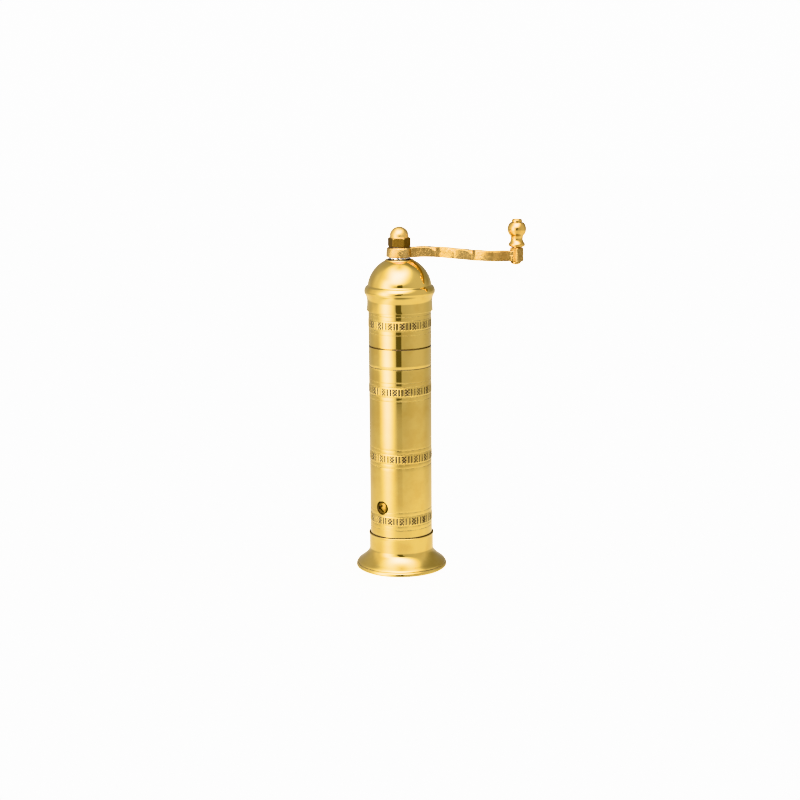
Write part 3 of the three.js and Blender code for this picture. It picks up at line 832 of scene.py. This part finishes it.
def make_collar_rings():
    """The black fibre ring in the collar, and the steel nut with a fluted rim above it."""
    section = [
        (4.3, 204.5), (7.4, 204.5), (7.75, 205.0), (7.7, 205.55), (7.2, 205.6), (7.0, 205.5), (4.3, 205.5),
    ]
    gasket = lathe("gasket_ring_fibre", rounded(section, 0.15), 96)
    weigh_normals(gasket)
    dress(gasket, "black_fibre", "head", nodes=("gasket_ring",))

    flutes, flute_depth = 10, 0.55

    def fluted(radius, z, azimuth, row):
        if radius < 6:
            return radius, z
        wave = 0.5 + 0.5 * math.cos(flutes * azimuth + 0.6)
        return radius - flute_depth * wave ** 6, z

    section = [(4.15, 205.8), (6.75, 205.8), (6.8, 206.3), (6.75, 206.8), (4.15, 206.8)]
    nut = lathe("ring_nut_steel", rounded(section, 0.15), 240, radius_of=fluted)
    weigh_normals(nut)
    dress(nut, "bright_steel", "crank", nodes=("ring_nut",))


# ---------------------------------------------------------------- crank


def smoothstep(x, low, high):
    t = min(1.0, max(0.0, (x - low) / (high - low)))
    return t * t * (3 - 2 * t)


def arm_height(x):
    """Height of the middle of the arm, which rises a little from the hub and then drops to the boss."""
    return 209.85 + 0.35 * smoothstep(x, 7, 15) - 3.3 * smoothstep(x, 15, 62)


KNOB_X = 75.6  # the knob's axis
ARM_HALF_H, ARM_HALF_W, ARM_CORNER = 3.25, 2.8, 0.35
ARM_START, ARM_END, ARM_STEP = 4, 73, 0.25
# Hammered facets on the arm's faces: where each begins, how far its middle stands out and how much
# it leans, in mm over its length.
FRONT_FACETS = (
    (4, 0.14, 0.10), (23.1, 0.14, -0.14), (35.7, 0.12, -0.12), (46.7, 0.14, -0.14), (61.0, 0.06, 0.15),
    (74, 0, 0),
)
BACK_FACETS = (
    (4, 0.2, 0.2), (18.0, 0.3, -0.3), (30.5, 0.25, 0.3), (42.0, 0.3, -0.35), (53.5, 0.25, 0.3),
    (74, 0, 0),
)
TOP_FACETS = (
    (4, 0.12, 0.0), (23.1, 0.16, 0.16), (35.7, 0.16, 0.16), (46.7, 0.16, 0.12), (57.0, 0.12, 0.1),
    (74, 0, 0),
)
BOTTOM_FACETS = ((4, 0.1, 0.0), (27.0, 0.14, 0.1), (41.0, 0.14, -0.1), (52.0, 0.12, 0.0), (74, 0, 0))
TILTED = ((23.6, 39.0, 0.22), (46.4, 58.0, 0.27))  # where the front leans back: from, to and slope
CHIPS = (23.1, 35.7, 46.7)  # where the front's upper edge is struck away
CHIP_LENGTH, CHIP_HEIGHT, CHIP_SLOPE = 6.5, 2.5, 0.62


def facet_offset(facets, x):
    """How far a face of the arm stands out at x."""
    for (start, bulge, lean), (end, _, _) in zip(facets, facets[1:]):
        if start <= x < end:
            t = (x - start) / (end - start)
            return bulge * (1 - (2 * t - 1) ** 2) - bulge * 0.6 + lean * (t - 0.5)
    return 0.0


def arm_section():
    """Points round the arm's section, with soft corners and about 0.5 mm apart."""
    corners = [
        (-ARM_HALF_W, -ARM_HALF_H), (ARM_HALF_W, -ARM_HALF_H),
        (ARM_HALF_W, ARM_HALF_H), (-ARM_HALF_W, ARM_HALF_H),
    ]
    outline = rounded(corners, ARM_CORNER, steps=5)
    dense = []
    for i, point in enumerate(outline):
        following = outline[(i + 1) % len(outline)]
        parts = max(1, int(math.dist(point, following) / 0.5))
        dense += [tuple(p + (q - p) * k / parts for p, q in zip(point, following)) for k in range(parts)]
    return dense


def hammered_bar():
    """The arm between hub and boss, with its facets and the places where its front edge is struck away."""
    section = arm_section()
    count = int((ARM_END - ARM_START) / ARM_STEP) + 1
    vertices = []
    for station in range(count):
        x = ARM_START + ARM_STEP * station
        middle = arm_height(x)
        front, back = facet_offset(FRONT_FACETS, x), facet_offset(BACK_FACETS, x)
        top, bottom = facet_offset(TOP_FACETS, x), facet_offset(BOTTOM_FACETS, x)
        near_chips = [
            (x - chip + CHIP_LENGTH) / CHIP_LENGTH for chip in CHIPS if chip - CHIP_LENGTH < x < chip
        ]
        struck = max([near ** 1.6 for near in near_chips] + [0.0])
        widen = 1 + 0.25 * (1 - smoothstep(x, 7.0, 11.5))
        tilt = sum(
            slope * smoothstep(x, start, start + 3) * smoothstep(x, end, end - 9)
            for start, end, slope in TILTED
        )
        for y, h in section:
            push_y = -front * max(0.0, -y / ARM_HALF_W) + back * max(0.0, y / ARM_HALF_W)
            push_z = top * max(0.0, h / ARM_HALF_H) - bottom * max(0.0, -h / ARM_HALF_H)
            if y < 0:
                on_front = min(1.0, -y / ARM_HALF_W * 2)
                above_chip = max(0.0, h - (ARM_HALF_H - CHIP_HEIGHT * struck))
                push_y += tilt * (h + ARM_HALF_H) * on_front
                push_y += CHIP_SLOPE * above_chip * on_front
            vertices.append((x, y * widen + push_y, middle + h + push_z))
    n = len(section)
    faces = []
    for r in range(count - 1):
        for i in range(n):
            j = (i + 1) % n
            faces.append((r * n + i, r * n + j, (r + 1) * n + j, (r + 1) * n + i))
    faces += [tuple(reversed(range(n))), tuple((count - 1) * n + i for i in range(n))]
    bar = to_object("bar", mesh_of("bar", vertices, faces))
    repair = bmesh.new()
    repair.from_mesh(bar.data)
    bmesh.ops.recalc_face_normals(repair, faces=repair.faces)
    repair.to_mesh(bar.data)
    repair.free()
    return bar


def arm_post():
    """The boss that carries the knob's pin: a square with soft corners, standing on one of its edges."""
    side = 3.45

    def squared(radius, z, azimuth, row):
        a = (azimuth % (math.pi / 2)) - math.pi / 4
        flat = side / math.cos(a)
        limit = side * math.sqrt(2) - 0.55
        soft = min(flat, limit + 0.12 * (flat - limit)) if flat > limit else flat
        return soft * radius, z

    profile = [
        (0, 203.1), (0.86, 203.1), (0.96, 203.3), (1.0, 203.8),
        (1.0, 211.9), (0.96, 212.2), (0.9, 212.3), (0, 212.3),
    ]
    post = lathe("post", profile, 160, radius_of=squared)
    post.data.transform(Matrix.Translation((KNOB_X * MM, 0, 0)))
    return post


def roughen(mesh, normals):
    """Moves the cast skin in and out by small lumps, most on the boss's lower part, but not in the bores."""
    for vertex, normal in zip(mesh.vertices, normals):
        p = vertex.co / MM
        lump = noise.noise(p * 0.55) * 0.07 + noise.noise(p * 2.0 + Vector((9, 3, 5))) * 0.055
        boss = smoothstep(p.x, 69, 71.5)
        rough = noise.noise(p * 1.25 + Vector((4, 8, 1))) * 0.22 * boss * smoothstep(p.z, 210.5, 208)
        if Vector((p.x, p.y)).length > 4.8 and Vector((p.x - KNOB_X, p.y)).length > 2.6:
            vertex.co += normal * (lump + rough) * MM


def arm_shade_and_patina(p, normal):
    """How dark the casting is at a point in mm, from 0 to 1: painted shade and random brown tone."""
    from_hub = math.hypot(p.x, p.y)
    height = p.z - arm_height(p.x)
    # painted shade: underside, fillet by the hub, towards the boss, struck notches, the boss's sides, under
    # the nut
    underside = 0.85 * smoothstep(-normal.z, 0.35, 0.8)
    fillet = 0.65 * math.exp(-(((from_hub - 9.3) / 0.9) ** 2)) if p.x > 5 else 0.0
    by_boss = 0.7 * smoothstep(p.x, 52, 66) * smoothstep(p.x, 71.5, 69.5)
    patch = 0.5 * math.exp(-(((p.x - 67.5) / 2.6) ** 2)) + by_boss
    slant = 0.7 + 0.35 * (3.2 - height)
    notch = max(0.65 * math.exp(-(((p.x - chip - slant) / 0.55) ** 2)) for chip in CHIPS)
    notch *= smoothstep(height, -1.2, 1.2) * smoothstep(-normal.y, 0.2, 0.5)
    boss_side = 0.5 * smoothstep(p.x, 70.5, 71.5) * smoothstep(abs(normal.x), 0.3, 0.7)
    # random brown tone in clouds and blotches, the casting's own
    cloud = 0.4 * smoothstep(noise.noise(p * 0.3 + Vector((2, 7, 4))), -0.1, 0.6)
    under_nut = 0.8 * smoothstep(p.z, 212.4, 212.9) * smoothstep(from_hub, 7.9, 7.3)
    blotch = 0.8 + 0.4 * noise.noise(p * 0.9)
    return min(1.0, max(underside, fillet, patch, notch, boss_side, cloud, under_nut) * blotch)


def make_arm():
    """The crank as one casting: hub, arm and boss are joined, then remeshed so that they run together."""
    hub_wall = [(0, 206.9), (8.2, 206.9), (8.6, 207.3), (8.35, 210.5), (8.15, 212.5), (7.8, 213), (0, 213)]
    crank = lathe("crank_arm_casting", rounded(hub_wall, 0.4, closed=False), 160)
    boolean(crank, "UNION", hammered_bar(), arm_post())
    bore = lathe("bore", [(0, 200), (2.1, 200), (2.1, 215), (0, 215)], 48)
    bore.data.transform(Matrix.Translation((KNOB_X * MM, 0, 0)))
    boolean(crank, "DIFFERENCE", block("square", (6.2, 6.2, 10), (0, 0, 210)), bore)
    remesh = crank.modifiers.new("casting", "REMESH")
    remesh.mode = "VOXEL"
    remesh.voxel_size = 0.21 * MM
    smooth = crank.modifiers.new("ease", "SMOOTH")
    smooth.factor = 0.5
    smooth.iterations = 1
    bake(crank)
    mesh = crank.data
    normals = [vertex.normal.copy() for vertex in mesh.vertices]
    roughen(mesh, normals)
    finish_mesh(mesh)
    # painted shade and random brown tone of the casting, kept as an attribute
    shade = mesh.attributes.new("recess", "FLOAT", "POINT")
    brown = [arm_shade_and_patina(vertex.co / MM, normal) for vertex, normal in zip(mesh.vertices, normals)]
    shade.data.foreach_set("value", brown)
    dress(crank, "cast_brass", "crank", nodes=("crank_arm",))


def make_nut():
    """Domed hexagon nut, with the chamfer's scallops on its flats."""
    bottom, hex_top, crown_foot, top = 213.45, 219.6, 220.6, 226.4
    flats, crown_r, bore_r = 13.0, 6.1, 4.15
    turn = math.radians(25)

    def hexagon(azimuth):
        a = (azimuth - turn) % (math.pi / 3) - math.pi / 6
        flat = flats / 2 / math.cos(a)
        limit = flats / 2 / math.cos(math.pi / 6) - 0.10
        return min(flat, limit + 0.2 * max(0.0, flat - limit))

    crown = [
        (crown_r * math.cos(a), crown_foot + (top - crown_foot) * math.sin(a))
        for a in map(math.radians, range(4, 90, 4))
    ]
    # Rows from the bore over the hexagon to the crown: a radius, or a name if the row follows the flats.
    rows = [
        (bore_r, bottom), (5.9, bottom), ("low_in", bottom), ("low_out", bottom),
        ("flat", 215), ("flat", 216.6), ("flat", 218.2),
        ("high_out", hex_top), ("high_in", hex_top), ("foot", hex_top),
        (crown_r + 0.02, hex_top + 0.25), (crown_r, crown_foot),
    ]
    kinds = [first if isinstance(first, str) else None for first, _ in rows]
    profile = [(flats / 2 if isinstance(first, str) else first, z) for first, z in rows]
    profile += [*crown, (0, top), (0, 222.5), (bore_r, 222.5)]

    def shape(radius, z, azimuth, row):
        """Bends the named rows round the hexagon, with the chamfer cut deeper at the corners."""
        kind = kinds[row] if row < len(kinds) else None
        if not kind:
            return radius, z
        edge = hexagon(azimuth)
        proud = edge - 6.4
        if kind == "low_in":
            return edge - 0.35, z + 0.02
        if kind == "low_out":
            return edge, z + 0.15 + 0.55 * proud
        if kind == "high_out":
            return edge, z - 0.12 - 0.62 * proud
        if kind == "high_in":
            return edge - 0.12, z - 0.05 - 0.50 * proud
        if kind == "foot":
            return crown_r + 0.12, z + 0.02
        return edge, z

    def darkening(row):
        """The flats are brown and the crown is polished."""
        return 1.0 if row < len(kinds) and kinds[row] in ("low_in", "low_out", "flat", "high_out") else 0.0

    nut = lathe("acorn_nut_domed", profile, 240, radius_of=shape, sharp=28, darkening=darkening)
    dress(nut, "dark_brass", "crank", nodes=("acorn_nut",))

    section = [(bore_r, 213.05), (6.1, 213.05), (6.1, 213.4), (bore_r, 213.4)]
    washer = lathe("lock_washer_plate", rounded(section, 0.08), 96)
    weigh_normals(washer)
    dress(washer, "tool_steel", "crank", nodes=("lock_washer",))


def make_knob():
    """The turned knob, and the pin it spins on, peened over under the boss."""
    at = (KNOB_X, 0.0)
    foot = [
        (2.05, 212.9), (4.4, 212.9), (4.85, 213.05), (5.25, 213.5), (5.38, 214.1), (5.32, 214.8),
        (5.05, 215.3),
    ]
    waist = bend((5.05, 215.3), (4.05, 216.4), (3.95, 217.6), 8)[1:]
    neck = bend((3.95, 217.6), (3.9, 218.7), (4.24, 219.91), 8)[1:-1]
    ball = arc(0, 224.3, 6.1, -46, 43, 26)
    profile = foot + waist + neck + ball + [(4.2, 228.5), (2.05, 228.5)]
    knob = lathe("crank_knob_turned", profile, 144, at=at, sharp=40)
    dress(knob, "turned_brass", "knob", nodes=("crank_knob",))

    def peened(radius, z, azimuth, row):
        if z > 203.05 or radius < 0.5:
            return radius, z
        lump = noise.noise(Vector((math.sin(azimuth) * 2.2, math.cos(azimuth) * 2.2, row * 0.4)))
        rise = 0.25 * lump if z < 202.9 else 0.0
        return radius * (1 + 0.16 * lump - 0.18 * math.sin(azimuth)), z + rise

    head = [
        (1.9, 228.62), (3.15, 228.62), (3.4, 228.75), (3.42, 229.5), (3.38, 230.2), (3.2, 230.5),
        (2.7, 230.68), (1.6, 230.74), (0, 230.75),
    ]
    tail = [
        (0, 201.3), (0.9, 201.35), (1.8, 201.5), (2.6, 201.8), (3.1, 202.2), (3.25, 202.6), (3.1, 203.0),
        (1.9, 203.02),
    ]
    pin = lathe("knob_pin_rivet", tail + head, 96, at=at, radius_of=peened, sharp=50)
    dress(pin, "turned_brass", "crank", nodes=("knob_pin",))


# ---------------------------------------------------------------- pieces that keep their CAD shape

KEPT = {
    "plain_brass": ("burr_housing", "upper_bridge", "adjuster_nut", "dome_bush"),
    "tool_steel": ("ring_burr", "cone_burr", "shaft_clip"),
    "bright_steel": (
        "burr_spring", "lower_bridge", "bridge_screw_left", "bridge_screw_right",
        "thrust_spindle", "thrust_ball", "drive_shaft", "thrust_washer",
    ),
}


def dress_kept():
    """Materials and smooth shading for the inner pieces, which keep their CAD shape."""
    for material, names in KEPT.items():
        for name in names:
            mesh = NODES[name].data
            mesh.materials.clear()
            mesh.materials.append(MATERIALS[material])
            for polygon in mesh.polygons:
                polygon.use_smooth = True
            mesh.set_sharp_from_angle(angle=math.radians(32))


make_camera()
make_world()
make_floor()
make_cup()
make_barrel()
make_screws()
make_dome()
make_collar_rings()
make_arm()
make_nut()
make_knob()
dress_kept()

scene = bpy.context.scene
scene.view_settings.view_transform = "Khronos PBR Neutral"
scene.view_settings.look = "None"
